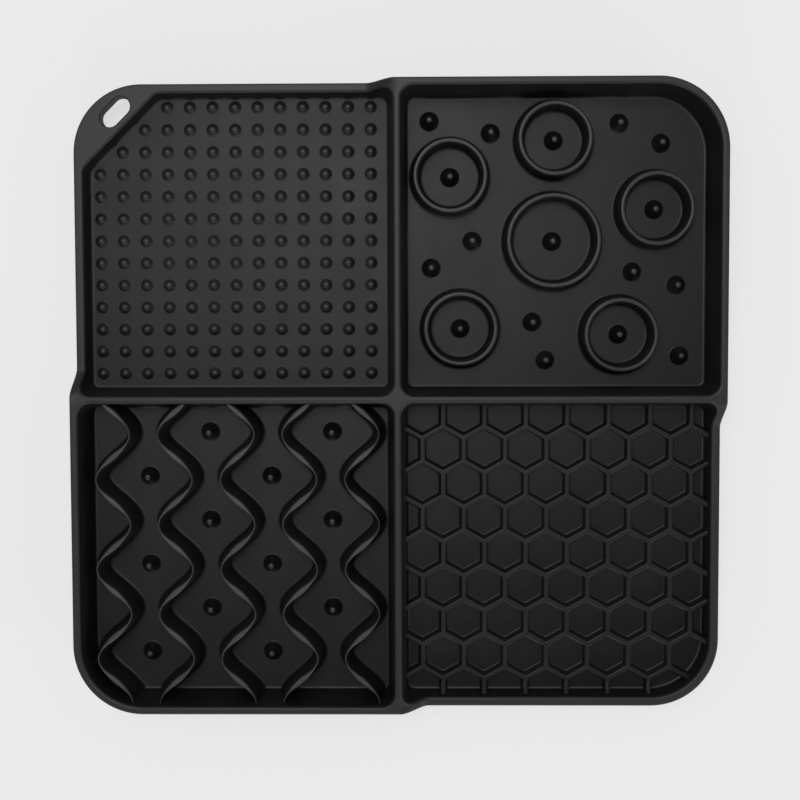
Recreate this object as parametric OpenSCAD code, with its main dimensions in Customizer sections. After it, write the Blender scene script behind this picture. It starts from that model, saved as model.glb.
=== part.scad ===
// Square lick mat with four textured trays, moulded in soft silicone.
// Lengths in millimetres. X runs to the right and Y away from the user when the hanging tab is at the
// far left. Z is up, and the lips of the suction cups stand on Z = 0, centred under the mat.

/* [Mat] */
// Width across the tops of the tall rims
mat_w = 205; // [190:1:220]
// Length across the tops of the tall rims
mat_l = 199; // [185:1:215]
// Thickness of the floor
floor_t = 2; // [1.5:0.1:3]
// Height of the tall rims and the dividers, from the underside of the floor
tall_h = 14; // [13:0.5:17]
// Height of the low rims and the hanging tab, from the underside of the floor
low_h = 7.5; // [6.5:0.5:9]
// Radius of the outer corners at the top of the tall rim
corner_r = 22; // [18:1:26]

/* [Walls] */
// Thickness of the tall rims at their top
rim_t = 2.5; // [2:0.1:3]
// Thickness of the dividers at their top
divider_t = 2.5; // [2:0.1:3]
// How far the outer faces lean in from the top to the underside
outer_run = 1; // [0.3:0.1:1.8]
// How far the faces inside the trays lean out from the floor to the top
inner_run = 1.6; // [1:0.1:2]
// Width and height of the sloped foot where a wall meets the floor
foot_w = 0.6; // [0.4:0.1:1.2]
// Width of the bevel along the top edges
edge_w = 0.6; // [0.3:0.1:0.8]
// Radius of the tray corners at the dividers, at the top
tray_corner_r = 4; // [3:0.5:6]
// Length of the ramp from a tall rim down to a low one
ramp_l = 8; // [5:0.5:14]

/* [Hanging tab] */
// Distance from the outer corner to the tab's inner edge, along each side
tab_leg = 30; // [28:0.5:32]
// Length of the slot
slot_l = 11; // [9:0.5:12]
// Width of the slot
slot_w = 6; // [4.5:0.5:6.5]
// Place of the slot's middle, as a share of the way from the tab's inner edge to the corner's arc
slot_place_share = 0.413; // [0.38:0.001:0.48]
// Shift of the slot along the tab's inner edge, from the middle of the mat's corner
slot_shift = 3.3; // [0:0.1:4]
// Thickness of the tab around the slot, above the pocket in its underside
tab_skin = 4.4; // [3.5:0.1:5]
// How far the pocket reaches out beyond the slot
pocket_margin = 1.2; // [0.6:0.1:1.4]

/* [Dots] */
// Diameter of a dot
dot_d = 3.4; // [2.6:0.1:4]
// Height of a dot
dot_h = 1.6; // [1.2:0.1:2.6]
// Distance from the top of a side wall to the nearest column of dots, before the field is shifted
dot_margin_x = 6.2; // [5:0.01:8]
// Distance from the top of an end wall to the nearest row of dots, before the field is shifted
dot_margin_y = 5.55; // [5:0.01:8]
// How far the field of dots lies off the middle of its tray, towards the outer side wall
dot_shift_x = 1; // [0:0.1:1.2]
// How far the field of dots lies off the middle of its tray, towards the outer end wall
dot_shift_y = 1; // [0:0.1:1.2]

/* [Rings] */
// Diameter of the small rings at their crest, as a share of the shorter side of the tray
ring_d_share = 0.242; // [0.2:0.002:0.25]
// Diameter of the large ring at its crest, as a share of the shorter side of the tray
big_ring_d_share = 0.308; // [0.26:0.002:0.32]
// Height of the rings
ring_h = 7; // [4:0.5:8]
// Thickness of a ring at its crest
ring_crest_t = 1.2; // [0.8:0.1:1.8]
// Thickness of a ring at its foot
ring_foot_t = 2.6; // [2:0.1:3.2]

/* [Nubs] */
// Diameter of a nub at its foot
nub_d = 5.6; // [4.4:0.1:6.4]
// Diameter of a nub near its top
nub_top_d = 2; // [1.4:0.1:2.6]
// Height of a nub
nub_h = 4.4; // [3.4:0.1:5.4]

/* [Waves] */
// Height of the wave walls
wave_h = 9.5; // [7:0.5:10.5]
// Thickness of a wave wall at its crest
wave_crest_t = 1.7; // [1:0.1:2]
// Thickness of a wave wall at its foot
wave_foot_t = 3; // [2.2:0.1:3.6]
// Whole waves along the tray
wave_count = 3.348; // [3.3:0.002:3.4]
// How far a wave swings to each side
wave_swing = 5.4; // [4.6:0.1:5.6]
// Distance from the top of a side wall to the middle of the nearest wave wall
wave_margin = 10.05; // [9.8:0.05:11]
// Distance from the middle of the mat to the nearest row of nubs
wave_first_y = 11.1; // [10:0.1:12]

/* [Honeycomb] */
// Width of a cell, from the middle of one rib to the next
cell_w = 13.22; // [12:0.02:15]
// Distance between rows of cells
cell_rise = 11.13; // [10.5:0.01:12.5]
// Thickness of a rib
rib_t = 2; // [1.2:0.1:2.6]
// Height of a rib
rib_h = 2.8; // [1.2:0.2:4]
// Place of the first cell from the middle of the mat, across
cell_first_x = 7.8; // [6:0.1:11]
// Place of the first row of cells from the middle of the mat
cell_first_y = 5.63; // [3:0.01:8]

/* [Suction cups] */
// Diameter of a cup at its lip
cup_d = 20; // [16:0.5:24]
// Height of a cup
cup_h = 3.2; // [2.6:0.1:4]
// Diameter of the neck where a cup joins the floor
cup_neck_d = 9; // [7:0.5:11]
// Width of the flat lip
cup_lip = 0.9; // [0.6:0.1:1.4]
// Thickness of the cup's skin over its hollow
cup_skin = 1; // [0.8:0.1:1.2]
// Cups along each side of one tray
cups_per_side = 2; // [1:1:3]

/* [Hidden] */
$fn = 48;

// Overrun for every cut
over = 5;

// Which way each tray lies from the middle of the mat
dot_side = [-1, 1];
ring_side = [1, 1];
wave_side = [-1, -1];
comb_side = [1, -1];

// The four corners of the plan
corner_ways = [[1, 1], [-1, 1], [-1, -1], [1, -1]];

// Heights, from the lips of the cups
under_z = cup_h;
floor_z = under_z + floor_t;
low_z = under_z + low_h;
tall_z = under_z + tall_h;

// One tray at its top: from the divider's face to the rim's inner face
tray_w = mat_w / 2 - rim_t - divider_t / 2;
tray_l = mat_l / 2 - rim_t - divider_t / 2;
tray_x = divider_t / 2 + tray_w / 2;
tray_y = divider_t / 2 + tray_l / 2;
rim_corner_r = corner_r - rim_t;
tray_depth = tall_z - floor_z;
tray_side = min(tray_w, tray_l);

// How far the tab's inner edge and the corner's arc lie in from the mat's square corner, and where
// that puts the middle of the slot
tab_depth = tab_leg / sqrt(2);
arc_depth = corner_r * sqrt(2) - corner_r;
slot_x = slot_place_share * (tab_depth - arc_depth) - tab_depth;

// Half of the strip that the dividers take with the fillets of their corners, how far out they reach
// into the rims, and how far out they keep their full height
cross_half = divider_t / 2 + tray_corner_r;
cross_x = mat_w / 2 - rim_t - inner_run / 2;
cross_y = mat_l / 2 - rim_t - inner_run / 2;
step_x = cross_x - tray_corner_r;
step_y = cross_y - tray_corner_r;

// Columns and rows of dots, and the corner left free for the tab
dot_columns = 13;
dot_rows = 13;
dot_corner_free = 3;
dot_pitch_x = (tray_w - 2 * dot_margin_x) / (dot_columns - 1);
dot_pitch_y = (tray_l - 2 * dot_margin_y) / (dot_rows - 1);

// Places of the rings and loose nubs, as shares of the tray's top from the divider crossing
ring_place_shares = [
    [0.156, 0.718], [0.489, 0.838], [0.813, 0.609], [0.485, 0.505], [0.189, 0.216], [0.700, 0.195]
];
big_ring = 3;
loose_nub_shares = [
    [0.090, 0.903], [0.287, 0.863], [0.700, 0.894], [0.834, 0.828], [0.228, 0.507], [0.096, 0.418],
    [0.744, 0.403], [0.886, 0.359], [0.422, 0.237], [0.464, 0.110], [0.898, 0.123]
];

// Share of a crest's thickness that each of its bevels takes
crest_bevel_share = 0.25;

// Steps of the sweep along one whole wave, the middle wall's number, and the nubs between the walls
wave_steps = 14;
wave_middle = 2;
wave_columns = 4;
wave_rows = 3;
wave_pitch = (tray_w - 2 * wave_margin) / wave_columns;
wave_period = tray_l / wave_count;

// Section of a cup's skirt, as shares of the way from the neck to the edge and of the cup's height
skirt_shares = [[0, 0.7], [0.5, 0.41], [1, 0.16]];

// A block with leaning sides between a foot w0 by l0 and a top w1 by l1
module leaning_block(w0, l0, w1, l1, h) {
    intersection() {
        rotate([90, 0, 0])
            linear_extrude(max(l0, l1) + 2 * over, center = true)
                polygon([[-w0 / 2, 0], [w0 / 2, 0], [w1 / 2, h], [-w1 / 2, h]]);
        rotate([90, 0, 90])
            linear_extrude(max(w0, w1) + 2 * over, center = true)
                polygon([[-l0 / 2, 0], [l0 / 2, 0], [l1 / 2, h], [-l1 / 2, h]]);
    }
}

// A box that fills one corner of the plan, from the origin outwards
module corner_box(way, size, z0, z1) {
    translate([way.x > 0 ? 0 : -size, way.y > 0 ? 0 : -size, z0])
        cube([size, size, z1 - z0]);
}

// A leaning block with round corners between two levels. Each level is a height and an inset from w and l,
// and rs holds the corner radii at no inset, in the order of corner_ways
module round_layer(w, l, rs, low, high) {
    h = high[0] - low[0];
    translate([0, 0, low[0]]) {
        difference() {
            leaning_block(w - 2 * low[1], l - 2 * low[1], w - 2 * high[1], l - 2 * high[1], h);
            for (i = [0 : 3])
                translate([corner_ways[i].x * (w / 2 - rs[i]), corner_ways[i].y * (l / 2 - rs[i]), 0])
                    corner_box(corner_ways[i], rs[i] + 2 * over, -over, h + over);
        }
        for (i = [0 : 3])
            translate([corner_ways[i].x * (w / 2 - rs[i]), corner_ways[i].y * (l / 2 - rs[i]), 0])
                cylinder(h = h, r1 = rs[i] - low[1], r2 = rs[i] - high[1]);
    }
}

// Such layers stacked on one another, through a list of levels
module round_stack(w, l, rs, levels) {
    for (i = [1 : len(levels) - 1])
        round_layer(w, l, rs, levels[i - 1], levels[i]);
}

// The outer shape of the whole mat up to the tall rims, with small bevels along its edges
module mat_block() {
    round_stack(mat_w, mat_l, [for (way = corner_ways) corner_r], [
        [under_z, outer_run + edge_w],
        [under_z + edge_w, outer_run],
        [tall_z - edge_w, 0],
        [tall_z, edge_w]
    ]);
}

// The hollow of one tray, from its floor to above the tall rims, with a sloped foot round its floor
module tray_hollow(side) {
    translate([side.x * tray_x, side.y * tray_y, 0])
        round_stack(tray_w, tray_l, [for (way = corner_ways) way == side ? rim_corner_r : tray_corner_r], [
            [floor_z, inner_run + foot_w],
            [floor_z + foot_w, inner_run],
            [tall_z - edge_w, 0],
            [tall_z + over, -edge_w - over]
        ]);
}

// Puts something at the mat's corner beyond the dot tray, with X pointing out across the corner
module at_tab() {
    translate([dot_side.x * mat_w / 2, dot_side.y * mat_l / 2, 0])
        rotate([0, 0, atan2(dot_side.y, dot_side.x)])
            children();
}

// The space across the corner that the tab takes, behind a leaning face
module tab_wedge() {
    face = -tab_depth;
    run = inner_run * (low_z - floor_z) / tray_depth;
    rise = over * inner_run / tray_depth;
    at_tab()
        rotate([90, 0, 0])
            linear_extrude(4 * tab_leg, center = true)
                polygon([
                    [face - run - rise, floor_z - over], [face + rise, low_z + over],
                    [over, low_z + over], [over, floor_z - over]
                ]);
}

// An oval prism through the tab from below, up to a height, that is wider than the slot by a margin
module tab_oval(margin, top) {
    w = slot_w + 2 * margin;
    h = top - under_z + over;
    at_tab()
        translate([slot_x, -slot_shift, under_z - over]) {
            for (end = [-1, 1])
                translate([0, end * (slot_l - slot_w) / 2, 0])
                    cylinder(d = w, h = h);
            translate([-w / 2, -(slot_l - slot_w) / 2, 0])
                cube([w, slot_l - slot_w, h]);
        }
}

// The slot through the tab, and the pocket below that leaves the tab thinner around it
module tab_slot() {
    tab_oval(0, low_z + over);
    tab_oval(pocket_margin, low_z - tab_skin);
}

// The space above a ramp that falls from the tall height to the low one, going out along +X
module above_ramp() {
    start = divider_t / 2;
    rotate([90, 0, 0])
        linear_extrude(2 * mat_l, center = true)
            polygon([
                [start, tall_z], [start + ramp_l, low_z],
                [mat_w, low_z], [mat_w, tall_z + over], [start, tall_z + over]
            ]);
}

// What is cut away to make the rims of one tray low, all but the ramps at its two dividers
module low_step(side) {
    difference() {
        intersection() {
            rotate([0, 0, side.x > 0 ? 0 : 180])
                above_ramp();
            rotate([0, 0, side.y > 0 ? 90 : -90])
                above_ramp();
        }
        translate([-cross_half, -step_y, 0])
            cube([2 * cross_half, 2 * step_y, tall_z + 2 * over]);
        translate([-step_x, -cross_half, 0])
            cube([2 * step_x, 2 * cross_half, tall_z + 2 * over]);
    }
}

// The mat with plain trays: the walls are cut out of it, so that they meet face to face
module bare_mat() {
    difference() {
        mat_block();
        for (side = corner_ways)
            tray_hollow(side);
        low_step(dot_side);
        low_step(comb_side);
    }
}

// The space above the floor that the dividers take, with the fillets at their ends
module cross_zone() {
    translate([-cross_half, -cross_y, floor_z])
        cube([2 * cross_half, 2 * cross_y, tall_h + over]);
    translate([-cross_x, -cross_half, floor_z])
        cube([2 * cross_x, 2 * cross_half, tall_h + over]);
}

module tray_floor(side) {
    difference() {
        intersection() {
            mat_block();
            corner_box(side, mat_w, 0, floor_z);
        }
        tab_slot();
    }
}

module tray_rim(side) {
    difference() {
        intersection() {
            bare_mat();
            corner_box(side, mat_w, floor_z, tall_z + over);
        }
        cross_zone();
        if (side == dot_side)
            tab_wedge();
    }
}

// The section of a thin wall that narrows towards a bevelled crest, from one foot round to the other
function wall_points(foot, crest, h) =
    let (bevel = crest * crest_bevel_share)
        [
            [foot / 2, 0], [crest / 2, h - bevel], [crest / 2 - bevel, h],
            [bevel - crest / 2, h], [-crest / 2, h - bevel], [-foot / 2, 0]
        ];

// The middle of something in the ring tray, from its shares of the tray's top
function ring_tray_place(share) = [
    ring_side.x * (divider_t / 2 + share.x * tray_w),
    ring_side.y * (divider_t / 2 + share.y * tray_l),
    floor_z
];

module ring_wall(i) {
    d = tray_side * (i == big_ring ? big_ring_d_share : ring_d_share);
    translate(ring_tray_place(ring_place_shares[i]))
        rotate_extrude($fn = 96)
            translate([(d - ring_crest_t) / 2, 0])
                polygon(wall_points(ring_foot_t, ring_crest_t, ring_h));
}

// A pointed nub with a round top
module nub() {
    top_r = nub_top_d / 2;
    rotate_extrude()
        polygon(concat(
            [[0, 0], [nub_d / 2, 0]],
            [for (a = [0 : 30 : 90]) [top_r * cos(a), nub_h - top_r * (1 - sin(a))]]
        ));
}

// A small round dot, from shares of its radius and height
module dot() {
    dot_shares = [[1, 0], [0.94, 0.5], [0.68, 0.85], [0.3, 1], [0, 1]];
    rotate_extrude()
        polygon(concat([[0, 0]], [for (s = dot_shares) [s.x * dot_d / 2, s.y * dot_h]]));
}

// Wave wall number i, counted from the outer rim: one solid swept along a sine. Its ends run into the
// faces of the divider and the rim
module wave_wall(i) {
    swing = i % 2 == 0 ? -wave_swing : wave_swing;
    section = wall_points(wave_foot_t, wave_crest_t, wave_h);
    sides = len(section);
    turn = 360 / wave_period;
    steps = ceil(mat_l / 2 / wave_period * wave_steps);
    rings = [
        for (k = [0 : steps])
            let (
                y = k * wave_period / wave_steps,
                phase = turn * (y - wave_first_y),
                lean = swing * sin(phase) * turn * PI / 180,
                across = [1, lean] / norm([1, lean])
            )
                for (p = section) [swing * cos(phase) + p.x * across.x, y + p.x * across.y, p.y]
    ];
    walls = [
        for (k = [0 : steps - 1], j = [0 : sides - 1])
            let (a = k * sides + j, b = k * sides + (j + 1) % sides)
                each [[a, b, b + sides], [a, b + sides, a + sides]]
    ];
    caps = [
        for (j = [1 : sides - 2])
            each [[0, j + 1, j], steps * sides * [1, 1, 1] + [0, j, j + 1]]
    ];
    intersection() {
        tray_hollow(wave_side);
        translate([wave_side.x * (tray_x + (wave_middle - i) * wave_pitch), 0, floor_z])
            rotate([0, 0, 180])
                polyhedron(rings, concat(walls, caps));
    }
}

// The middle of a nub in the wave tray: columns from the outer rim, rows from the divider
function wave_nub_place(column, row) = [
    wave_side.x * (tray_x + (wave_middle - 0.5 - column) * wave_pitch),
    wave_side.y * (wave_first_y + (row + (column % 2 == 0 ? 0.5 : 0)) * wave_period),
    floor_z
];

// One cell of the honeycomb, as the hole that its ribs leave
module comb_cell() {
    half = (cell_w - rib_t) / 2;
    tip = cell_rise * 2 / 3 - rib_t / 2 / cos(30);
    polygon([[0, tip], [half, tip / 2], [half, -tip / 2], [0, -tip], [-half, -tip / 2], [-half, tip / 2]]);
}

module dot_tray_floor() color("#3a3a3c") tray_floor(dot_side);

module ring_tray_floor() color("#383839") tray_floor(ring_side);

module wave_tray_floor() color("#303031") tray_floor(wave_side);

module honeycomb_tray_floor() color("#2a2a2b") tray_floor(comb_side);

module divider_cross() {
    color("#444446")
        intersection() {
            bare_mat();
            cross_zone();
        }
}

module dot_tray_rim() color("#464648") tray_rim(dot_side);

module ring_tray_rim() color("#434345") tray_rim(ring_side);

module wave_tray_rim() color("#404042") tray_rim(wave_side);

module honeycomb_tray_rim() color("#3c3c3e") tray_rim(comb_side);

module hanging_tab() {
    color("#454547")
        difference() {
            intersection() {
                mat_block();
                corner_box(dot_side, mat_w, floor_z, low_z);
                tab_wedge();
            }
            tab_slot();
        }
}

module lick_dots() {
    color("#363637")
        for (c = [0 : dot_columns - 1], r = [0 : dot_rows - 1])
            if (dot_columns - 1 - c + dot_rows - 1 - r >= dot_corner_free)
                translate([
                    dot_side.x * (tray_x + dot_shift_x + (c - (dot_columns - 1) / 2) * dot_pitch_x),
                    dot_side.y * (tray_y + dot_shift_y + (r - (dot_rows - 1) / 2) * dot_pitch_y),
                    floor_z
                ])
                    dot();
}

module ring_wall_1() color("#343436") ring_wall(0);

module ring_wall_2() color("#343436") ring_wall(1);

module ring_wall_3() color("#343436") ring_wall(2);

module ring_wall_4() color("#343436") ring_wall(3);

module ring_wall_5() color("#343436") ring_wall(4);

module ring_wall_6() color("#343436") ring_wall(5);

module ring_nubs() {
    color("#262627")
        for (share = ring_place_shares)
            translate(ring_tray_place(share))
                nub();
}

module loose_nubs() {
    color("#262627")
        for (share = loose_nub_shares)
            translate(ring_tray_place(share))
                nub();
}

module wave_wall_1() color("#2c2c2e") wave_wall(0);

module wave_wall_2() color("#2c2c2e") wave_wall(1);

module wave_wall_3() color("#2c2c2e") wave_wall(2);

module wave_wall_4() color("#2c2c2e") wave_wall(3);

module wave_wall_5() color("#2c2c2e") wave_wall(4);

module wave_nubs() {
    color("#222223")
        for (column = [0 : wave_columns - 1], row = [0 : wave_rows - 1])
            translate(wave_nub_place(column, row))
                nub();
}

module honeycomb_ribs() {
    columns = ceil(mat_w / 2 / cell_w) + 1;
    rows = ceil(mat_l / 2 / cell_rise) + 1;
    color("#2e2e2f")
        intersection() {
            tray_hollow(comb_side);
            translate([0, 0, floor_z])
                linear_extrude(rib_h)
                    difference() {
                        translate([comb_side.x > 0 ? 0 : -mat_w, comb_side.y > 0 ? 0 : -mat_l])
                            square([mat_w, mat_l]);
                        for (c = [-1 : columns], r = [-1 : rows])
                            translate([
                                comb_side.x * (cell_first_x + (c + (abs(r) % 2) / 2) * cell_w),
                                comb_side.y * (cell_first_y + r * cell_rise)
                            ])
                                comb_cell();
                    }
        }
}

// One cup: a neck under the floor that opens into a thin skirt with a flat lip
module suction_cup() {
    neck = cup_neck_d / 2;
    reach = cup_d / 2 - neck;
    outer = [for (s = skirt_shares) [neck + s.x * reach, s.y * cup_h]];
    rotate_extrude($fn = 64)
        polygon([
            [0, cup_h], [neck, cup_h], outer[0], outer[1], outer[2],
            [cup_d / 2, 0], [cup_d / 2 - cup_lip, 0],
            outer[1] - [0, cup_skin], outer[0] - [0, cup_skin], [0, outer[0].y - cup_skin]
        ]);
}

module suction_cups() {
    color("#2b2b2c")
        for (way = corner_ways, c = [0 : cups_per_side - 1], r = [0 : cups_per_side - 1])
            translate([
                way.x * (c + 0.5) * mat_w / 2 / cups_per_side,
                way.y * (r + 0.5) * mat_l / 2 / cups_per_side,
                0
            ])
                suction_cup();
}

dot_tray_floor();
ring_tray_floor();
wave_tray_floor();
honeycomb_tray_floor();
divider_cross();
dot_tray_rim();
ring_tray_rim();
wave_tray_rim();
honeycomb_tray_rim();
hanging_tab();
lick_dots();
ring_wall_1();
ring_wall_2();
ring_wall_3();
ring_wall_4();
ring_wall_5();
ring_wall_6();
ring_nubs();
loose_nubs();
wave_wall_1();
wave_wall_2();
wave_wall_3();
wave_wall_4();
wave_wall_5();
wave_nubs();
honeycomb_ribs();
suction_cups();
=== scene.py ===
import math
import bmesh
import bpy
from mathutils import Matrix, Vector
from mathutils.geometry import tessellate_polygon


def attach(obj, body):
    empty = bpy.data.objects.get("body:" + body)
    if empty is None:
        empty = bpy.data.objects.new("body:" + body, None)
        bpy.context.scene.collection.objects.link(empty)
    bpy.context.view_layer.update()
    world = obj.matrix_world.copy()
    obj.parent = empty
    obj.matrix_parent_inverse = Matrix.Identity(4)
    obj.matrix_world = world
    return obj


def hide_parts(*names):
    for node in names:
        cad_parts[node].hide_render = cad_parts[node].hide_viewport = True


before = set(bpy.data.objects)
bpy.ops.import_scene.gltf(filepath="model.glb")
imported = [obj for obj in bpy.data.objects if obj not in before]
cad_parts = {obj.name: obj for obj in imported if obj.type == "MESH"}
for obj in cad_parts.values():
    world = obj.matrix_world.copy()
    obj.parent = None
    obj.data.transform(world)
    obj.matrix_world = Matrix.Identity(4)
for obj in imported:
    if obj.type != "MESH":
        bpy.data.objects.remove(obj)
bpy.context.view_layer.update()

mm = 0.001

# The moulding's sizes in millimetres, in the CAD frame: the lips of the cups stand on Z = 0
body = {
    "width": 205.0,
    "length": 199.0,
    "underZ": 3.2,
    "floorZ": 5.2,
    "lowZ": 10.7,
    "tallZ": 17.2,
    "cornerRadius": 22.0,
    "rim": 2.5,
    "divider": 2.5,
    "edge": 0.6,
    "foot": 0.6,
    "outerRun": 1.0,
    "innerRun": 1.6,
    "smallRadius": 4.0,
    "rampLength": 8.0,
    "tabLeg": 30.0,
    "tabFillet": 5.0,
    "footFillet": 0.9,
    "innerRound": 1.05,
    "outerRound": 0.6,
    "bottomRound": 0.6,
    "footSteps": 7,
    "topSteps": 6,
    "bottomSteps": 4,
    "faceSteps": 4,
    "cornerSteps": 24,
    "smallSteps": 10,
    "tabSteps": 8,
    "tabEdgeSteps": 4,
    "spacing": 1.25,
}

slot = {
    "length": 11.0,
    "width": 6.0,
    "inset": 5.0,
    "shift": 1.18,
    "topRound": 0.45,
    "bottomRound": 0.3,
    "skin": 4.4,
    "pocket": 1.2,
    "steps": 14,
    "rimSteps": 5,
    "edgeSteps": 4,
}

quadrants = {
    "Dot": (-1, 1),
    "Ring": (1, 1),
    "Wave": (-1, -1),
    "Honeycomb": (1, -1),
}
lowQuadrants = ("Dot", "Honeycomb")

halfW = body["width"] / 2
halfL = body["length"] / 2
halfDivider = body["divider"] / 2
innerW = halfW - body["rim"]
innerL = halfL - body["rim"]
outerCorner = body["cornerRadius"] - body["rim"]
faceTop = body["tallZ"] - body["edge"]
innerSlope = body["innerRun"] / (faceTop - body["floorZ"] - body["foot"])
outerSlope = body["outerRun"] / (faceTop - body["underZ"] - body["edge"])
floorZ = body["floorZ"]
trayMidX = (halfDivider + innerW) / 2
trayMidY = (halfDivider + innerL) / 2
trayW = innerW - halfDivider
trayL = innerL - halfDivider


def clamp(x, low=0.0, high=1.0):
    return min(max(x, low), high)


def smooth(x):
    x = clamp(x)
    return x * x * (3 - 2 * x)


def rampHeight(t):
    # top of a low rim, at a distance t from the middle of the divider
    u = (t - halfDivider) / body["rampLength"]
    fall = 0.5 * smooth(u) + 0.5 * clamp(u)
    return body["tallZ"] - (body["tallZ"] - body["lowZ"]) * fall


def innerFace(z):
    return innerSlope * (faceTop - z)


def outerFace(z):
    return outerSlope * (faceTop - z)


def outerTopInset(h):
    r = body["outerRound"]
    return outerFace(h - r) + r * math.hypot(1, outerSlope)


def innerProfile(h):
    # (t, z) from the floor to the flat top; t runs outwards from the line of the inner face at its top
    lean = math.atan(innerSlope)
    rf = body["footFillet"]
    rt = body["innerRound"]
    cz = floorZ + rf
    cd = innerFace(cz) + rf * math.hypot(1, innerSlope)
    footSteps = body["footSteps"]
    points = []
    for i in range(footSteps + 1):
        a = (math.pi / 2 - lean) * i / footSteps
        points.append((-cd + rf * math.sin(a), cz - rf * math.cos(a)))
    z0 = points[-1][1]
    tz = h - rt
    td = innerFace(tz) - rt * math.hypot(1, innerSlope)
    z1 = tz + rt * math.sin(lean)
    for i in range(1, body["faceSteps"]):
        z = z0 + (z1 - z0) * i / body["faceSteps"]
        points.append((-innerFace(z), z))
    for i in range(body["topSteps"] + 1):
        a = lean + (math.pi / 2 - lean) * i / body["topSteps"]
        points.append((-td - rt * math.cos(a), tz + rt * math.sin(a)))
    return points


def outerProfile(h):
    # (inset from the outer line, z) from the flat top to the underside
    lean = math.atan(outerSlope)
    rt = body["outerRound"]
    rb = body["bottomRound"]
    tz = h - rt
    tq = outerTopInset(h)
    points = []
    for i in range(body["topSteps"] + 1):
        a = (math.pi / 2 + lean) * i / body["topSteps"]
        points.append((tq - rt * math.sin(a), tz + rt * math.cos(a)))
    z1 = points[-1][1]
    bz = body["underZ"] + rb
    bq = outerFace(bz) + rb * math.hypot(1, outerSlope)
    z0 = bz - rb * math.sin(lean)
    for i in range(1, body["faceSteps"]):
        z = z1 + (z0 - z1) * i / body["faceSteps"]
        points.append((outerFace(z), z))
    for i in range(body["bottomSteps"] + 1):
        a = lean + (math.pi / 2 - lean) * i / body["bottomSteps"]
        points.append((bq - rb * math.cos(a), bz - rb * math.sin(a)))
    return points


def trayLine(name):
    # the line of a tray's inner face, counter-clockwise in its own quadrant:
    # (x, y, normal x, normal y, kind, share along the arc)
    r = body["smallRadius"]
    corners = [
        (halfDivider, halfDivider, r, "hub", body["smallSteps"], "divider"),
        (innerW, halfDivider, r, "teeX", body["smallSteps"], "rim"),
    ]
    if name == "Dot":
        line = halfW + halfL - body["tabLeg"] + innerFace(body["lowZ"]) * math.sqrt(2)
        corners.append((innerW, line - innerW, body["tabFillet"], "tab", body["tabSteps"], "tab"))
        corners.append((line - innerL, innerL, body["tabFillet"], "tab", body["tabSteps"], "rim"))
    else:
        corners.append((innerW, innerL, outerCorner, "corner", body["cornerSteps"], "rim"))
    corners.append((halfDivider, innerL, r, "teeY", body["smallSteps"], "divider"))
    arcs = []
    for k, (x, y, r, kind, steps, straight) in enumerate(corners):
        before = Vector((x, y)) - Vector(corners[k - 1][:2])
        after = Vector(corners[(k + 1) % len(corners)][:2]) - Vector((x, y))
        before.normalize()
        after.normalize()
        turn = math.acos(clamp(before.dot(after), -1.0, 1.0))
        start = math.atan2(-before.x, before.y)
        centre = Vector((x, y)) - before * r * math.tan(turn / 2) + Vector((-before.y, before.x)) * r
        arc = []
        for i in range(steps + 1):
            a = start + turn * i / steps
            n = (math.cos(a), math.sin(a))
            arc.append((centre.x + r * n[0], centre.y + r * n[1], n[0], n[1], kind, i / steps))
        arcs.append((arc, straight))
    points = []
    for k, (arc, straight) in enumerate(arcs):
        points += arc
        a = arc[-1]
        b = arcs[(k + 1) % len(arcs)][0][0]
        gap = math.hypot(b[0] - a[0], b[1] - a[1])
        steps = max(2, math.ceil(gap / body["spacing"]))
        for i in range(1, steps):
            s = i / steps
            points.append((a[0] + (b[0] - a[0]) * s, a[1] + (b[1] - a[1]) * s, a[2], a[3], straight, s))
    return points


class Shell:
    def __init__(self):
        self.points = []
        self.index = {}
        self.faces = []
        self.owners = []

    def vertex(self, x, y, z):
        key = (round(x, 3), round(y, 3), round(z, 3))
        if key not in self.index:
            self.index[key] = len(self.points)
            self.points.append((x, y, z))
        return self.index[key]

    def face(self, owner, corners):
        kept = [c for i, c in enumerate(corners) if c != corners[i - 1]]
        if len(kept) > 2:
            self.faces.append(kept)
            self.owners.append(owner)

    def strip(self, owner, a, b):
        for i in range(len(a) - 1):
            self.face(owner, [a[i], a[i + 1], b[i + 1], b[i]])

    def fill(self, owner, loops):
        flat = [c for loop in loops for c in loop]
        rows = [[Vector((self.points[c][0], self.points[c][1], 0)) for c in loop] for loop in loops]
        for triangle in tessellate_polygon(rows):
            self.face(owner, [flat[i] for i in triangle])


shell = Shell()


def topHeight(name, kind, x, y):
    if name not in lowQuadrants or kind in ("divider", "hub"):
        return body["tallZ"]
    return max(rampHeight(x), rampHeight(y))


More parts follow.
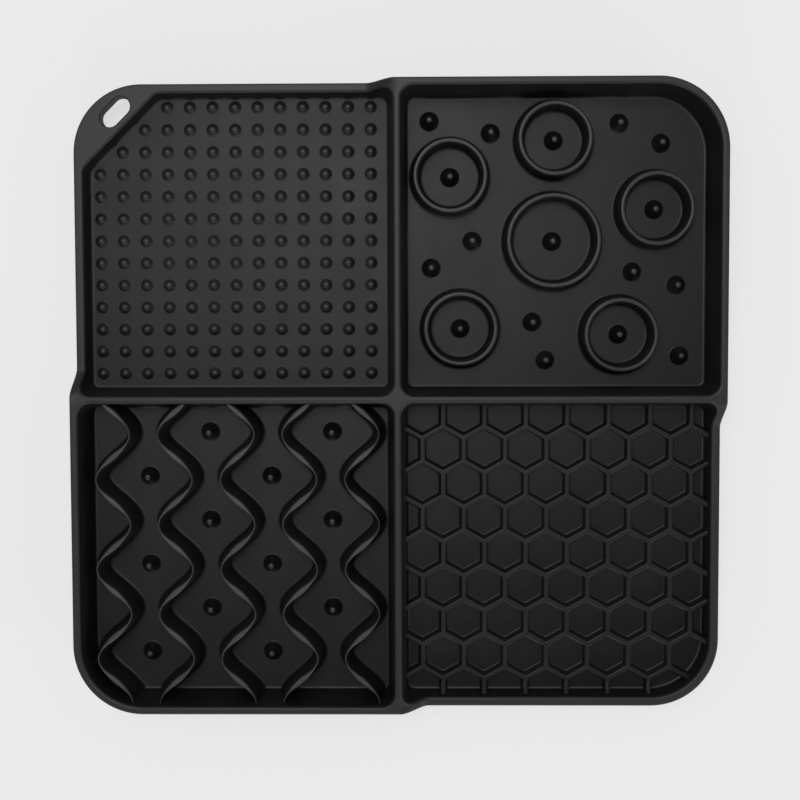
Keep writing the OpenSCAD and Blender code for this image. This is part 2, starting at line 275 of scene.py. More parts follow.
def mateOf(name, point):
    # where the flat top ends across from a point of the tray's line: (x, y, height, outer line or None)
    x, y, nx, ny, kind, s = point
    small = halfDivider + body["smallRadius"]
    low = name in lowQuadrants
    if kind == "divider":
        return (x, 0.0, body["tallZ"], None) if ny < -0.5 else (0.0, y, body["tallZ"], None)
    if kind == "hub":
        if s < 0.5:
            return (0.0, small * (1 - 2 * s), body["tallZ"], None)
        return (small * (2 * s - 1), 0.0, body["tallZ"], None)
    if kind == "teeX":
        v = small * max(2 * s - 1, 0)
        h = rampHeight(v) if low else body["tallZ"]
        end = halfW - outerTopInset(h)
        start = innerW - body["smallRadius"]
        if s < 0.5:
            return (start + (end - start) * 2 * s, 0.0, h, None)
        return (end, v, h, (halfW, v, 1.0, 0.0))
    if kind == "teeY":
        u = small * max(1 - 2 * s, 0)
        h = rampHeight(u) if low else body["tallZ"]
        end = halfL - outerTopInset(h)
        start = innerL - body["smallRadius"]
        if s > 0.5:
            return (0.0, start + (end - start) * (2 - 2 * s), h, None)
        return (u, end, h, (u, halfL, 0.0, 1.0))
    h = topHeight(name, kind, x, y)
    t = body["rim"] - outerTopInset(h)
    return (x + nx * t, y + ny * t, h, (x + nx * body["rim"], y + ny * body["rim"], nx, ny))


def slotLoop(offset, z):
    # the slot's outline in the dot tray's own quadrant, moved outwards by offset
    u = (halfW + halfL - body["tabLeg"]) / math.sqrt(2) + slot["inset"]
    across = Vector((1, 1)).normalized()
    along = Vector((-1, 1)).normalized()
    middle = across * u + along * slot["shift"]
    half = (slot["length"] - slot["width"]) / 2
    r = slot["width"] / 2 + offset
    loop = []
    for end in (1, -1):
        for i in range(slot["steps"] + 1):
            a = math.pi * i / slot["steps"]
            p = middle + end * (along * (half + r * math.sin(a)) + across * (r * math.cos(a)))
            loop.append(shell.vertex(-p.x, p.y, z))
    return loop


def ownerOf(name, a, b):
    kinds = {a[4], b[4]}
    if kinds & {"divider", "hub", "teeX", "teeY"}:
        return "dividerCross"
    if kinds == {"tab"}:
        return "hangingTab"
    return "rim" + name


def buildTray(name):
    sx, sy = quadrants[name]
    line = trayLine(name)
    columns = []
    mates = []
    outline = []
    for p in line:
        x, y, nx, ny, kind, s = p
        h = topHeight(name, kind, x, y)
        columns.append([shell.vertex(sx * (x + nx * t), sy * (y + ny * t), z) for t, z in innerProfile(h)])
        mates.append(mateOf(name, p))
    count = len(line)
    tabIndices = [i for i in range(count) if line[i][4] == "tab"]
    freeMates = tabIndices[1:-1]
    for i in range(count):
        j = (i + 1) % count
        owner = ownerOf(name, line[i], line[j])
        shell.strip(owner, columns[i], columns[j])
        if i in freeMates or j in freeMates:
            continue
        a = shell.vertex(sx * mates[i][0], sy * mates[i][1], mates[i][2])
        b = shell.vertex(sx * mates[j][0], sy * mates[j][1], mates[j][2])
        shell.face(owner, [columns[i][-1], columns[j][-1], b, a])
    shell.face("floor" + name, [c[0] for c in columns])
    for i, p in enumerate(line):
        if mates[i][3] is not None and i not in freeMates:
            outline.append((mates[i][3], mates[i][2], ownerOf(name, p, p)))
    if name == "Dot":
        outline = withTabCorner(outline, line[tabIndices[0]], line[tabIndices[-1]])
    skins = []
    for (x, y, nx, ny), h, owner in outline:
        skins.append([shell.vertex(sx * (x - nx * q), sy * (y - ny * q), z) for q, z in outerProfile(h)])
    for i in range(len(skins) - 1):
        owner = outline[i][2] if outline[i][2] == outline[i + 1][2] else "rim" + name
        if owner == "dividerCross":
            owner = "rim" + name
        shell.strip(owner, skins[i], skins[i + 1])
    bottom = [s[-1] for s in skins]
    middle = shell.vertex(0, 0, body["underZ"])
    if name != "Dot":
        shell.face("floor" + name, bottom + [middle])
        return
    first = outline.index(next(o for o in outline if o[2] == "hangingTab"))
    last = len(outline) - 1 - outline[::-1].index(next(o for o in outline[::-1] if o[2] == "hangingTab"))
    edge = [s[0] for s in skins[first:last + 1]]
    front = [columns[i][-1] for i in tabIndices]
    rings = []
    rt = slot["topRound"]
    rb = slot["bottomRound"]
    ceiling = body["lowZ"] - slot["skin"]
    # down the slot: the rounded rim, the edge of the pocket's ceiling, its corner and the rim underneath
    for i in range(slot["rimSteps"] + 1):
        a = math.pi / 2 * i / slot["rimSteps"]
        rings.append(slotLoop(rt * (1 - math.sin(a)), body["lowZ"] - rt * (1 - math.cos(a))))
    quarter = [math.pi / 2 * i / slot["edgeSteps"] for i in range(slot["edgeSteps"] + 1)]
    for a in quarter:
        rings.append(slotLoop(rb * (1 - math.cos(a)), ceiling + rb * (1 - math.sin(a))))
    for a in quarter:
        rings.append(slotLoop(slot["pocket"] - rb * (1 - math.sin(a)), ceiling - rb * (1 - math.cos(a))))
    for a in quarter:
        flare = rb * (1 - math.cos(a))
        rings.append(slotLoop(slot["pocket"] + flare, body["underZ"] + rb * (1 - math.sin(a))))
    for upper, lower in zip(rings, rings[1:]):
        shell.strip("hangingTab", upper + upper[:1], lower + lower[:1])
    shell.fill("hangingTab", [front + edge[::-1], rings[0]])
    shell.fill("floorDot", [bottom + [middle], rings[-1]])


def withTabCorner(outline, first, last):
    # the dot tray's outer line goes on round the corner of the mat behind the tab
    a = next(i for i, o in enumerate(outline) if o[2] == "hangingTab")
    b = a + 1
    start = outline[a][0]
    end = outline[b][0]
    r = body["cornerRadius"]
    cx = halfW - r
    cy = halfL - r
    steps = body["tabEdgeSteps"]
    extra = []
    for i in range(1, steps):
        extra.append((halfW, start[1] + (cy - start[1]) * i / steps, 1.0, 0.0))
    for i in range(body["cornerSteps"] + 1):
        w = math.pi / 2 * i / body["cornerSteps"]
        extra.append((cx + r * math.cos(w), cy + r * math.sin(w), math.cos(w), math.sin(w)))
    for i in range(1, steps):
        extra.append((cx + (end[0] - cx) * i / steps, halfL, 0.0, 1.0))
    extra = [(e, body["lowZ"], "hangingTab") for e in extra]
    return outline[:a + 1] + extra + outline[b:]


for trayName in quadrants:
    buildTray(trayName)
print("shell:", len(shell.points), "points,", len(shell.faces), "faces")


def hexColour(text, alpha=1.0):
    # sRGB hex to the linear values that the shaders take
    parts = []
    for i in (1, 3, 5):
        c = int(text[i:i + 2], 16) / 255
        parts.append(c / 12.92 if c <= 0.04045 else ((c + 0.055) / 1.055) ** 2.4)
    return (*parts, alpha)


def addNode(tree, kind, settings=None, links=None):
    node = tree.nodes.new(kind)
    for key, value in (settings or {}).items():
        if key in node.inputs:
            node.inputs[key].default_value = value
        else:
            setattr(node, key, value)
    for key, source in (links or {}).items():
        tree.links.new(source, node.inputs[key])
    return node


def siliconeMaterial(look):
    # black silicone rubber, compression moulded: the blasted steel mould leaves a satin skin, so that
    # lamps show as wide soft patches and never as sharp spots
    material = bpy.data.materials.new(look["name"])
    material.use_nodes = True
    tree = material.node_tree
    tree.nodes.clear()
    place = addNode(tree, "ShaderNodeTexCoord").outputs["Object"]
    cloudScale = 1 / (look["cloudSize"] * mm)
    grainScale = 1 / (look["grainSize"] * mm)
    cloud = addNode(tree, "ShaderNodeTexNoise", {"Scale": cloudScale, "Detail": 3.0}, {"Vector": place})
    grain = addNode(tree, "ShaderNodeTexNoise", {"Scale": grainScale, "Detail": 2.0}, {"Vector": place})
    colour = addNode(tree, "ShaderNodeValToRGB", None, {"Fac": cloud.outputs["Fac"]})
    colour.color_ramp.elements[0].position = look["cloudLow"]
    colour.color_ramp.elements[0].color = hexColour(look["dark"])
    colour.color_ramp.elements[1].position = look["cloudHigh"]
    colour.color_ramp.elements[1].color = hexColour(look["light"])
    rough = addNode(
        tree,
        "ShaderNodeMapRange",
        {
            "From Min": look["cloudLow"],
            "From Max": look["cloudHigh"],
            "To Min": look["roughLow"],
            "To Max": look["roughHigh"],
        },
        {"Value": cloud.outputs["Fac"]},
    )
    roughness = rough.outputs["Result"]
    tone = colour.outputs["Color"]
    if "paintedHighlight" in look:
        # crests and flat tops are smoother than the skin below them, and a paler tone is mixed in there as
        # a painted highlight: they are found by their height above the floor, or on the rims by how flat
        # they lie
        if "crest" in look:
            source = place
            low, high = [(floorZ + z) * mm for z in look["crest"]]
        else:
            source = addNode(tree, "ShaderNodeNewGeometry").outputs["Normal"]
            low, high = look["flat"]
        height = addNode(tree, "ShaderNodeSeparateXYZ", None, {"Vector": source}).outputs["Z"]
        span = addNode(tree, "ShaderNodeMapRange", {"From Min": low, "From Max": high}, {"Value": height})
        crestShare = span.outputs["Result"]
        smoother = addNode(
            tree,
            "ShaderNodeMapRange",
            {"To Max": look["crestRough"]},
            {"Value": crestShare, "To Min": roughness},
        )
        roughness = smoother.outputs["Result"]
        highlightMix = addNode(
            tree,
            "ShaderNodeMixRGB",
            {"Color2": hexColour(look["paintedHighlight"])},
            {"Fac": crestShare, "Color1": tone},
        )
        tone = highlightMix.outputs["Color"]
    bump = addNode(
        tree,
        "ShaderNodeBump",
        {"Strength": look["grainStrength"], "Distance": look["grainDepth"] * mm},
        {"Height": grain.outputs["Fac"]},
    )
    shader = addNode(
        tree,
        "ShaderNodeBsdfPrincipled",
        {"Specular IOR Level": look["specular"], "IOR": look["ior"]},
        {"Base Color": tone, "Roughness": roughness, "Normal": bump.outputs["Normal"]},
    )
    addNode(tree, "ShaderNodeOutputMaterial", None, {"Surface": shader.outputs["BSDF"]})
    return material


silicone = {
    "dark": "#0f0f10",
    "light": "#141415",
    "roughLow": 0.44,
    "roughHigh": 0.5,
    "specular": 0.5,
    "ior": 1.41,
    "cloudSize": 14.0,
    "cloudLow": 0.3,
    "cloudHigh": 0.7,
    "grainSize": 0.35,  # a blasted mould leaves grains of about 0.1 mm, drawn coarser so that they show
    "grainDepth": 0.02,
    "grainStrength": 0.35,
}

# crest is in millimetres above the floor, flat is the upward share of the surface's normal; the pale tone
# given for each is a painted highlight
crestLooks = {
    "wall": {"flat": (0.75, 0.97), "crestRough": 0.46, "paintedHighlight": "#2d2d2e"},
    "dot": {"crest": (1.1, 1.45), "crestRough": 0.36, "paintedHighlight": "#2e2e2f"},
    "nub": {"crest": (3.7, 4.3), "crestRough": 0.3, "paintedHighlight": "#3a3a3b"},
    "ring": {"crest": (6.4, 6.9), "crestRough": 0.36, "paintedHighlight": "#343435"},
    "wave": {"crest": (8.5, 9.3), "crestRough": 0.36, "paintedHighlight": "#464647"},
}
# the dots' paler copy of the silicone is painted light that eases the shade on their sides
dotPaintedLight = {"dark": "#1d1d1e", "light": "#232324"}
# the wave floor's paler copy of the silicone is painted light on that floor
waveFloorPaintedLight = {"dark": "#1a1a1b", "light": "#202021"}
ribTone = {"dark": "#141415", "light": "#1a1a1b"}
cupTone = {"dark": "#141415", "light": "#1a1a1b"}


def mouldedSilicone(part, *changes):
    look = {**silicone, "name": "mouldedSilicone" + part}
    for change in changes:
        look.update(change)
    return siliconeMaterial(look)


# a painted highlight makes the flat tops paler than the faces, which draws the outline of each tray
wallSilicone = mouldedSilicone("Rims", crestLooks["wall"])
# deep black satin, which takes the softbox's glow at the far side and fades towards the user
floorSilicone = mouldedSilicone("Floors")
# a little greyer than the other floors: painted light that brightens this floor, so that the dark sides of
# the waves stand out on it
waveFloorSilicone = mouldedSilicone("WaveFloor", waveFloorPaintedLight)
# small domes whose tips catch the light; they are drawn in a paler tone than the floor, painted light that
# eases the shade on their sides, and their tips carry a painted highlight as well
dotSilicone = mouldedSilicone("Dots", dotPaintedLight, crestLooks["dot"])
# smoother tips with a small highlight each, partly from the lamps and partly painted
nubSilicone = mouldedSilicone("Nubs", crestLooks["nub"])
# a thin bright line runs round each crest, partly from the lamps and partly a painted highlight
ringSilicone = mouldedSilicone("Rings", crestLooks["ring"])
# the crests shine where they run slantwise, from the lamps, and carry a painted highlight all along
waveSilicone = mouldedSilicone("Waves", crestLooks["wave"])
# ribs that stand out only by their shaded sides
ribSilicone = mouldedSilicone("Ribs", ribTone)
# plain satin, seen only from below
cupSilicone = mouldedSilicone("Cups", cupTone)


def finishPiece(piece, material, nodes):
    piece.data.materials.append(material)
    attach(piece, "root")
    if nodes:
        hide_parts(*nodes)


shellPieces = {
    "floorDot": (["dot_tray_floor"], floorSilicone, "floor_silicone"),
    "floorRing": (["ring_tray_floor"], floorSilicone, "floor_silicone"),
    "floorWave": (["wave_tray_floor"], waveFloorSilicone, "floor_silicone"),
    "floorHoneycomb": (["honeycomb_tray_floor"], floorSilicone, "floor_silicone"),
    "rimDot": (["dot_tray_rim"], wallSilicone, "wall_silicone"),
    "rimRing": (["ring_tray_rim"], wallSilicone, "wall_silicone"),
    "rimWave": (["wave_tray_rim"], wallSilicone, "wall_silicone"),
    "rimHoneycomb": (["honeycomb_tray_rim"], wallSilicone, "wall_silicone"),
    "dividerCross": (["divider_cross"], wallSilicone, "wall_silicone"),
    "hangingTab": (["hanging_tab"], wallSilicone, "wall_silicone"),
}


def buildShell():
    # one closed skin, cut into its pieces with the normals of the whole, so that no seam shows
    whole = bmesh.new()
    mark = whole.faces.layers.int.new("owner")
    names = list(shellPieces)
    verts = [whole.verts.new((x * mm, y * mm, z * mm)) for x, y, z in shell.points]
    for corners, owner in zip(shell.faces, shell.owners):
        face = whole.faces.new([verts[c] for c in corners])
        face[mark] = names.index(owner)
        face.smooth = True
    bmesh.ops.recalc_face_normals(whole, faces=whole.faces)
    print("shell edges that are not closed:", sum(len(e.link_faces) != 2 for e in whole.edges))
    whole.verts.ensure_lookup_table()
    normals = []
    for v in whole.verts:
        total = Vector()
        for loop in v.link_loops:
            total += loop.face.normal * loop.face.calc_area() * loop.calc_angle()
        normals.append(total.normalized())
    for k, name in enumerate(names):
        faces = [f for f in whole.faces if f[mark] == k]
        used = {}
        for f in faces:
            for v in f.verts:
                used.setdefault(v.index, len(used))
        order = sorted(used, key=used.get)
        mesh = bpy.data.meshes.new(name)
        mesh.from_pydata(
            [whole.verts[i].co[:] for i in order],
            [],
            [[used[v.index] for v in f.verts] for f in faces],
        )
        mesh.polygons.foreach_set("use_smooth", [True] * len(mesh.polygons))
        mesh.normals_split_custom_set_from_vertices([normals[i] for i in order])
        piece = bpy.data.objects.new(name, mesh)
        bpy.context.collection.objects.link(piece)
        nodes, material, slotName = shellPieces[name]
        finishPiece(piece, material, nodes)
    whole.free()


buildShell()


def softened(points, rounds=2):
    # cuts the corners of an open line, with its ends kept
    for _ in range(rounds):
        line = [points[0]]
        for a, b in zip(points, points[1:]):
            line.append(tuple(p * 0.75 + q * 0.25 for p, q in zip(a, b)))
            line.append(tuple(p * 0.25 + q * 0.75 for p, q in zip(a, b)))
        points = line + [points[-1]]
    return points


def addGrid(mesh, rows, around=False, along=False, caps=False):
    # quads between neighbouring rows; around closes each row, along joins the last row to the first
    grid = [[mesh.verts.new((x * mm, y * mm, z * mm)) for x, y, z in row] for row in rows]
    pairs = list(zip(grid, grid[1:]))
    if along:
        pairs.append((grid[-1], grid[0]))
    for a, b in pairs:
        for i in range(len(a) if around else len(a) - 1):
            j = (i + 1) % len(a)
            mesh.faces.new([a[i], a[j], b[j], b[i]])
    if caps:
        mesh.faces.new(grid[0])
        mesh.faces.new(grid[-1])
    return grid


def addTurned(mesh, centre, profile, steps):
    # a solid of revolution from (radius, height) points that end on the axis
    cx, cy, cz = centre
    angles = [2 * math.pi * i / steps for i in range(steps)]
    rows = [[(cx + r * math.cos(a), cy + r * math.sin(a), cz + z) for a in angles] for r, z in profile[:-1]]
    grid = addGrid(mesh, rows, around=True)
    tip = mesh.verts.new((cx * mm, cy * mm, (cz + profile[-1][1]) * mm))
    last = grid[-1]
    for i in range(steps):
        mesh.faces.new([last[i], last[(i + 1) % steps], tip])
    return grid


def addPiece(name, mesh, material, nodes=()):
    bmesh.ops.recalc_face_normals(mesh, faces=mesh.faces)
    data = bpy.data.meshes.new(name)
    mesh.to_mesh(data)
    mesh.free()
    data.polygons.foreach_set("use_smooth", [True] * len(data.polygons))
    piece = bpy.data.objects.new(name, data)
    bpy.context.collection.objects.link(piece)
    finishPiece(piece, material, nodes)
    return piece


def trayPlace(name, x, y):
    sx, sy = quadrants[name]
    return (sx * x, sy * y, floorZ)


dots = {
    "columns": 13,
    "rows": 13,
    "cornerFree": 3,
    "pitchX": 7.196,
    "pitchY": 7.054,
    "shift": 1.0,
    "steps": 24,
    "profile": [
        (2.3, -0.02),
        (2.0, 0.02),
        (1.74, 0.2),
        (1.44, 0.66),
        (1.08, 1.12),
        (0.7, 1.38),
        (0.35, 1.48),
        (0.0, 1.5),
    ],
}


def buildDots():
    mesh = bmesh.new()
    profile = softened(dots["profile"], 1)
    for c in range(dots["columns"]):
        for r in range(dots["rows"]):
            left = dots["columns"] - 1 - c + dots["rows"] - 1 - r
            if left < dots["cornerFree"]:
                continue
            x = trayMidX + dots["shift"] + (c - (dots["columns"] - 1) / 2) * dots["pitchX"]
            y = trayMidY + dots["shift"] + (r - (dots["rows"] - 1) / 2) * dots["pitchY"]
            addTurned(mesh, trayPlace("Dot", x, y), profile, dots["steps"])
    addPiece("lickDots", mesh, dotSilicone, ["lick_dots"])


buildDots()
print("dots built")

nub = {
    "steps": 40,
    "profile": [(3.7, -0.02), (3.0, 0.0), (2.65, 0.35), (1.05, 3.6), (0.85, 4.2), (0.4, 4.4), (0.0, 4.4)],
}
nubProfile = softened(nub["profile"])

rings = {
    "places": [
        (0.156, 0.718),
        (0.489, 0.838),
        (0.813, 0.609),
        (0.485, 0.505),
        (0.189, 0.216),
        (0.700, 0.195),
    ],
    "share": 0.242,
    "bigShare": 0.308,
    "big": 3,
    "crest": 1.2,
    "steps": 96,
    "section": [
        (2.5, -0.02),
        (1.95, 0.03),
        (1.55, 0.3),
        (1.28, 0.95),
        (0.74, 5.9),
        (0.68, 6.55),
        (0.5, 6.88),
        (0.22, 7.0),
        (-0.22, 7.0),
        (-0.5, 6.88),
        (-0.68, 6.55),
        (-0.74, 5.9),
        (-1.28, 0.95),
        (-1.55, 0.3),
        (-1.95, 0.03),
        (-2.5, -0.02),
    ],
    "looseNubs": [
        (0.090, 0.903),
        (0.287, 0.863),
        (0.700, 0.894),
        (0.834, 0.828),
        (0.228, 0.507),
        (0.096, 0.418),
        (0.744, 0.403),
        (0.886, 0.359),
        (0.422, 0.237),
        (0.464, 0.110),
        (0.898, 0.123),
    ],
}


def ringPlace(share):
    return trayPlace("Ring", halfDivider + share[0] * trayW, halfDivider + share[1] * trayL)


def buildRings():
    section = softened(rings["section"])
    for i, place in enumerate(rings["places"]):
        share = rings["bigShare"] if i == rings["big"] else rings["share"]
        middle = (min(trayW, trayL) * share - rings["crest"]) / 2
        cx, cy, cz = ringPlace(place)
        rows = []
        for k in range(rings["steps"]):
            a = 2 * math.pi * k / rings["steps"]
            ux = math.cos(a)
            uy = math.sin(a)
            rows.append([(cx + (middle + r) * ux, cy + (middle + r) * uy, cz + z) for r, z in section])
        mesh = bmesh.new()
        addGrid(mesh, rows, around=True, along=True)
        number = str(i + 1)
        addPiece("ringWall" + number, mesh, ringSilicone, ["ring_wall_" + number])
    mesh = bmesh.new()
    for place in rings["places"]:
        addTurned(mesh, ringPlace(place), nubProfile, nub["steps"])
    addPiece("ringNubs", mesh, nubSilicone, ["ring_nubs"])
    mesh = bmesh.new()
    for place in rings["looseNubs"]:
        addTurned(mesh, ringPlace(place), nubProfile, nub["steps"])
    addPiece("looseNubs", mesh, nubSilicone, ["loose_nubs"])


buildRings()
print("rings and their nubs built")

waves = {
    "count": 5,
    "height": 9.5,
    "swing": 5.4,
    "firstY": 11.1,
    "waveCount": 3.348,
    "margin": 10.05,
    "columns": 4,
    "rows": 3,
    "step": 0.7,
    "hidden": 0.6,
    "turnWidth": 0.16,
    "section": [
        (2.9, -0.02),
        (2.3, 0.03),
        (1.85, 0.35),
        (1.55, 1.1),
        (1.02, 8.2),
        (0.96, 8.75),
        (0.72, 9.24),
        (0.3, 9.5),
        (-0.3, 9.5),
        (-0.72, 9.24),
        (-0.96, 8.75),
        (-1.02, 8.2),
        (-1.55, 1.1),
        (-1.85, 0.35),
        (-2.3, 0.03),
        (-2.9, -0.02),
    ],
}


def intoTray(x, y, reach):
    # a point that runs past the tray's walls is kept inside them, where it doesn't show
    x = clamp(x, halfDivider - reach, innerW + reach)
    y = clamp(y, halfDivider - reach, innerL + reach)
    cx = innerW - outerCorner
    cy = innerL - outerCorner
    if x > cx and y > cy:
        far = math.hypot(x - cx, y - cy)
        limit = outerCorner + reach
        if far > limit:
            x = cx + (x - cx) * limit / far
            y = cy + (y - cy) * limit / far
    return x, y


def buildWaves():
    period = trayL / waves["waveCount"]
    pitch = (trayW - 2 * waves["margin"]) / (waves["count"] - 1)
    section = softened(waves["section"])
    turn = 2 * math.pi / period
    length = innerL + waves["hidden"]
    steps = math.ceil(length / waves["step"])
    sx, sy = quadrants["Wave"]
    for i in range(waves["count"]):
        middle = trayMidX + (waves["count"] / 2 - 0.5 - i) * pitch
        swing = -waves["swing"] if i % 2 == 0 else waves["swing"]
        rows = []
        for k in range(steps + 1):
            y = halfDivider - waves["hidden"] + (length - halfDivider + waves["hidden"]) * k / steps
            phase = turn * (y - waves["firstY"])
            lean = -swing * turn * math.sin(phase)
            size = math.hypot(1, lean)
            centreX = middle + swing * math.cos(phase)
            bend = smooth(abs(math.cos(phase)))  # 1 where the wall turns back
            row = []
            for t, z in section:
                t *= 1 - (1 - waves["turnWidth"]) * bend * (max(z, 0.0) / waves["height"]) ** 2
                px, py = intoTray(centreX + t / size, y - t * lean / size, waves["hidden"])
                row.append((sx * px, sy * py, floorZ + z))
            rows.append(row)
        mesh = bmesh.new()
        addGrid(mesh, rows, around=True, caps=True)
        number = str(i + 1)
        addPiece("waveWall" + number, mesh, waveSilicone, ["wave_wall_" + number])
    mesh = bmesh.new()
    for c in range(waves["columns"]):
        for r in range(waves["rows"]):
            x = trayMidX + ((waves["columns"] - 1) / 2 - c) * pitch
            y = waves["firstY"] + (r + (0.5 if c % 2 == 0 else 0)) * period
            addTurned(mesh, trayPlace("Wave", x, y), nubProfile, nub["steps"])
    addPiece("waveNubs", mesh, nubSilicone, ["wave_nubs"])


buildWaves()
print("waves and their nubs built")

comb = {
    "cellW": 13.22,
    "rise": 11.13,
    "firstX": 7.8,
    "firstY": 5.63,
    "cornerSteps": 4,
    "cornerRadius": 0.5,
    "hidden": 0.6,
    "climb": 0.5,
    "climbStart": 1.0,
    "climbReach": 3.0,
    "climbAbove": 0.2,
    "nearShare": 0.6,
    "leastInset": 0.001,
    "weld": 0.004,
    "loops": [
        (0.0, 2.8),
        (0.4, 2.8),
        (0.58, 2.76),
        (0.7, 2.64),
        (0.77, 2.42),
        (1.08, 0.5),
        (1.18, 0.2),
        (1.4, 0.03),
        (1.7, -0.02),
    ],
}


def hexLoop(cx, cy, inset):
    # a cell's outline, with corners that grow rounder towards its middle
    half = comb["cellW"] / 2 - inset
    tip = comb["rise"] * 2 / 3 - inset / math.cos(math.radians(30))
    corners = [(0, tip), (-half, tip / 2), (-half, -tip / 2), (0, -tip), (half, -tip / 2), (half, tip / 2)]
    radius = comb["cornerRadius"] * inset
    loop = []
    for k, (x, y) in enumerate(corners):
        before = (Vector((x, y)) - Vector(corners[k - 1])).normalized()
        after = (Vector(corners[(k + 1) % 6]) - Vector((x, y))).normalized()
        for i in range(comb["cornerSteps"] + 1):
            s = i / comb["cornerSteps"]
            p = Vector((x, y)) - before * radius * (1 - s) ** 2 + after * radius * s ** 2
            loop.append((cx + p.x, cy + p.y))
    return loop


def combHeight(x, y, z):
    # the ribs climb a little where they meet a wall
    near = min(x - halfDivider, y - halfDivider, innerW - x, innerL - y)
    rise = comb["climb"] * smooth(1 - (near - comb["climbStart"]) / comb["climbReach"])
    return z + (rise if z > comb["climbAbove"] else 0.0)


def buildComb():
    mesh = bmesh.new()
    sx, sy = quadrants["Honeycomb"]
    columns = math.ceil(halfW / comb["cellW"]) + 1
    rows = math.ceil(halfL / comb["rise"]) + 1
    for r in range(-1, rows + 1):
        for c in range(-1, columns + 1):
            cx = comb["firstX"] + (c + (abs(r) % 2) / 2) * comb["cellW"]
            cy = comb["firstY"] + r * comb["rise"]
            near = intoTray(cx, cy, 0.0)
            if math.hypot(near[0] - cx, near[1] - cy) > comb["cellW"] * comb["nearShare"]:
                continue  # the whole cell lies outside the tray
            loops = []
            for inset, z in comb["loops"]:
                loop = []
                for x, y in hexLoop(cx, cy, max(inset, comb["leastInset"])):
                    px, py = intoTray(x, y, comb["hidden"])
                    loop.append((sx * px, sy * py, floorZ + combHeight(px, py, z)))
                loops.append(loop)
            addGrid(mesh, loops, around=True)
    bmesh.ops.remove_doubles(mesh, verts=mesh.verts, dist=comb["weld"] * mm)
    addPiece("honeycombRibs", mesh, ribSilicone, ["honeycomb_ribs"])


buildComb()
print("honeycomb built")

cups = {
    "perSide": 2,
    "steps": 64,
    "profile": [
        (4.2, 3.22),
        (4.5, 3.1),
        (4.55, 2.5),
        (4.8, 2.2),
        (7.25, 1.33),
        (9.7, 0.55),
        (10.0, 0.45),
        (10.0, 0.0),
        (9.2, 0.0),
        (7.25, 0.34),
        (4.6, 1.22),
        (2.0, 1.24),
        (0.0, 1.24),
    ],
}


def buildCups():
    mesh = bmesh.new()
    profile = softened(cups["profile"])
    for wx in (-1, 1):
        for wy in (-1, 1):
            for c in range(cups["perSide"]):
                for r in range(cups["perSide"]):
                    x = wx * (c + 0.5) * halfW / cups["perSide"]
                    y = wy * (r + 0.5) * halfL / cups["perSide"]
                    addTurned(mesh, (x, y, 0.0), profile, cups["steps"])
    addPiece("suctionCups", mesh, cupSilicone, ["suction_cups"])


buildCups()
print("cups built")

stage = {
    "half": 3.0,
    "drop": 0.05,
    "paper": "#dcdcdc",
    "paperShade": "#8c8c8c",
    "paperSeen": "#d0d0d0",
    "paperGlow": "#808080",
    "world": "#606062",
    "sweepGlow": "#e0e0e0",
    "sweep": (5.0, 58.0),
    "worldSeen": "#e8e8e8",
}


def buildStage():
    mesh = bmesh.new()
    half = stage["half"]
    z = -stage["drop"] * mm
    places = ((-half, -half), (half, -half), (half, half), (-half, half))
    mesh.faces.new([mesh.verts.new((x, y, z)) for x, y in places])
    data = bpy.data.meshes.new("floor")
    mesh.to_mesh(data)
    mesh.free()
    floor = bpy.data.objects.new("floor", data)
    bpy.context.collection.objects.link(floor)
    # matt coated paper: no highlight, only an even pale tone with the mat's soft shadow on it
    material = bpy.data.materials.new("mattCoatedPaper")
    material.use_nodes = True
    tree = material.node_tree
    tree.nodes.clear()
    paper = addNode(tree, "ShaderNodeBsdfDiffuse", {"Color": hexColour(stage["paper"])})
    shade = addNode(tree, "ShaderNodeBsdfDiffuse", {"Color": hexColour(stage["paperShade"])})
    glow = addNode(tree, "ShaderNodeEmission", {"Color": hexColour(stage["paperSeen"]), "Strength": 1.0})
    both = addNode(tree, "ShaderNodeAddShader")
    tree.links.new(shade.outputs[0], both.inputs[0])
    tree.links.new(glow.outputs[0], both.inputs[1])
    seen = addNode(tree, "ShaderNodeLightPath").outputs["Is Camera Ray"]
    sheen = addNode(tree, "ShaderNodeEmission", {"Color": hexColour(stage["paperGlow"]), "Strength": 1.0})
    bounce = addNode(tree, "ShaderNodeAddShader")
    tree.links.new(paper.outputs[0], bounce.inputs[0])
    tree.links.new(sheen.outputs[0], bounce.inputs[1])
    pick = addNode(tree, "ShaderNodeMixShader", None, {"Fac": seen})
    tree.links.new(bounce.outputs[0], pick.inputs[1])
    tree.links.new(both.outputs[0], pick.inputs[2])
    addNode(tree, "ShaderNodeOutputMaterial", None, {"Surface": pick.outputs[0]})
    data.materials.append(material)


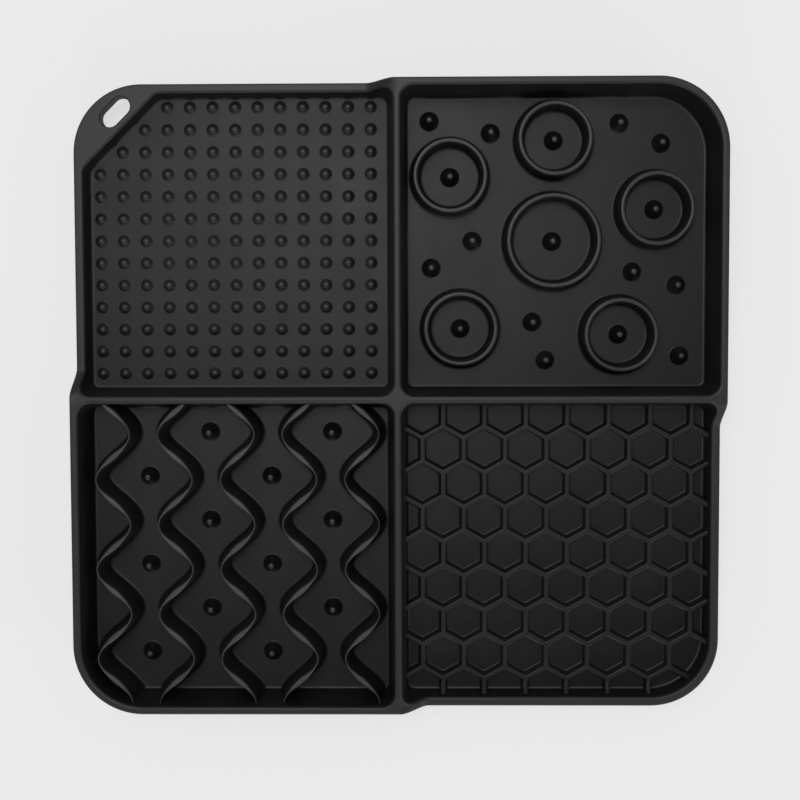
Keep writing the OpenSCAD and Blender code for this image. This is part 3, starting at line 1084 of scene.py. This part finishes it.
def buildWorld():
    world = bpy.data.worlds.new("studio")
    world.use_nodes = True
    bpy.context.scene.world = world
    tree = world.node_tree
    tree.nodes.clear()
    way = addNode(tree, "ShaderNodeTexCoord").outputs["Generated"]
    up = addNode(tree, "ShaderNodeSeparateXYZ", None, {"Vector": way}).outputs["Z"]
    low, high = [math.sin(math.radians(a)) for a in stage["sweep"]]
    # a pale sweep stands round the table, and the room above it is darker
    overhead = addNode(tree, "ShaderNodeMapRange", {"From Min": low, "From Max": high}, {"Value": up})
    sky = addNode(
        tree,
        "ShaderNodeMixRGB",
        {"Color1": hexColour(stage["sweepGlow"]), "Color2": hexColour(stage["world"])},
        {"Fac": overhead.outputs["Result"]},
    )
    room = addNode(tree, "ShaderNodeBackground", {"Strength": 1.0}, {"Color": sky.outputs["Color"]})
    seen = addNode(tree, "ShaderNodeBackground", {"Color": hexColour(stage["worldSeen"]), "Strength": 1.0})
    ray = addNode(tree, "ShaderNodeLightPath").outputs["Is Camera Ray"]
    pick = addNode(tree, "ShaderNodeMixShader", None, {"Fac": ray})
    tree.links.new(room.outputs[0], pick.inputs[1])
    tree.links.new(seen.outputs[0], pick.inputs[2])
    addNode(tree, "ShaderNodeOutputWorld", None, {"Surface": pick.outputs[0]})


# places and sizes in metres
lamps = {
    "softbox": {"place": (-0.07, 0.2, 0.75), "target": (0.0, 0.0, 0.0), "size": (0.55, 0.55), "watts": 2.2},
    "key": {"place": (-0.07, 0.2, 0.74), "target": (0.0, 0.0, 0.0), "size": (0.12, 0.12), "watts": 0.5},
    "kicker": {"place": (-0.1, -1.0, 0.36), "target": (0.0, 0.0, 0.0), "size": (0.2, 0.2), "watts": 2.0},
    "fill": {"place": (0.8, -0.8, 0.28), "target": (0.0, 0.0, 0.0), "size": (0.5, 0.4), "watts": 3.0},
}


def buildLamps():
    for name, lamp in lamps.items():
        data = bpy.data.lights.new(name, "AREA")
        data.shape = "RECTANGLE"
        data.size, data.size_y = lamp["size"]
        data.energy = lamp["watts"]
        light = bpy.data.objects.new(name, data)
        bpy.context.collection.objects.link(light)
        light.location = lamp["place"]
        aim = Vector(lamp["target"]) - Vector(lamp["place"])
        light.rotation_euler = aim.to_track_quat("-Z", "Y").to_euler()


# place and nearest in metres, turn as a rotation vector in radians, lens and sensor in millimetres
cameraView = {
    "place": (0.00468, 0.02828, 0.3522),
    "turn": (-0.04265377, 0.01079285, -0.00284726),
    "lens": 48.641,
    "sensor": 36.0,
    "shift": (-0.000865, -0.05645),
    "nearest": 0.01,
}


def buildCamera():
    data = bpy.data.cameras.new("camera")
    data.lens = cameraView["lens"]
    data.sensor_width = cameraView["sensor"]
    data.sensor_fit = "HORIZONTAL"
    data.shift_x, data.shift_y = cameraView["shift"]
    data.clip_start = cameraView["nearest"]
    camera = bpy.data.objects.new("camera", data)
    bpy.context.collection.objects.link(camera)
    turn = Vector(cameraView["turn"])
    spin = Matrix.Rotation(turn.length, 4, turn.normalized())
    camera.matrix_world = Matrix.Translation(cameraView["place"]) @ spin
    bpy.context.scene.camera = camera


buildStage()
buildWorld()
buildLamps()
buildCamera()
bpy.context.scene.view_settings.view_transform = "Standard"
print("stage, lamps and camera built")
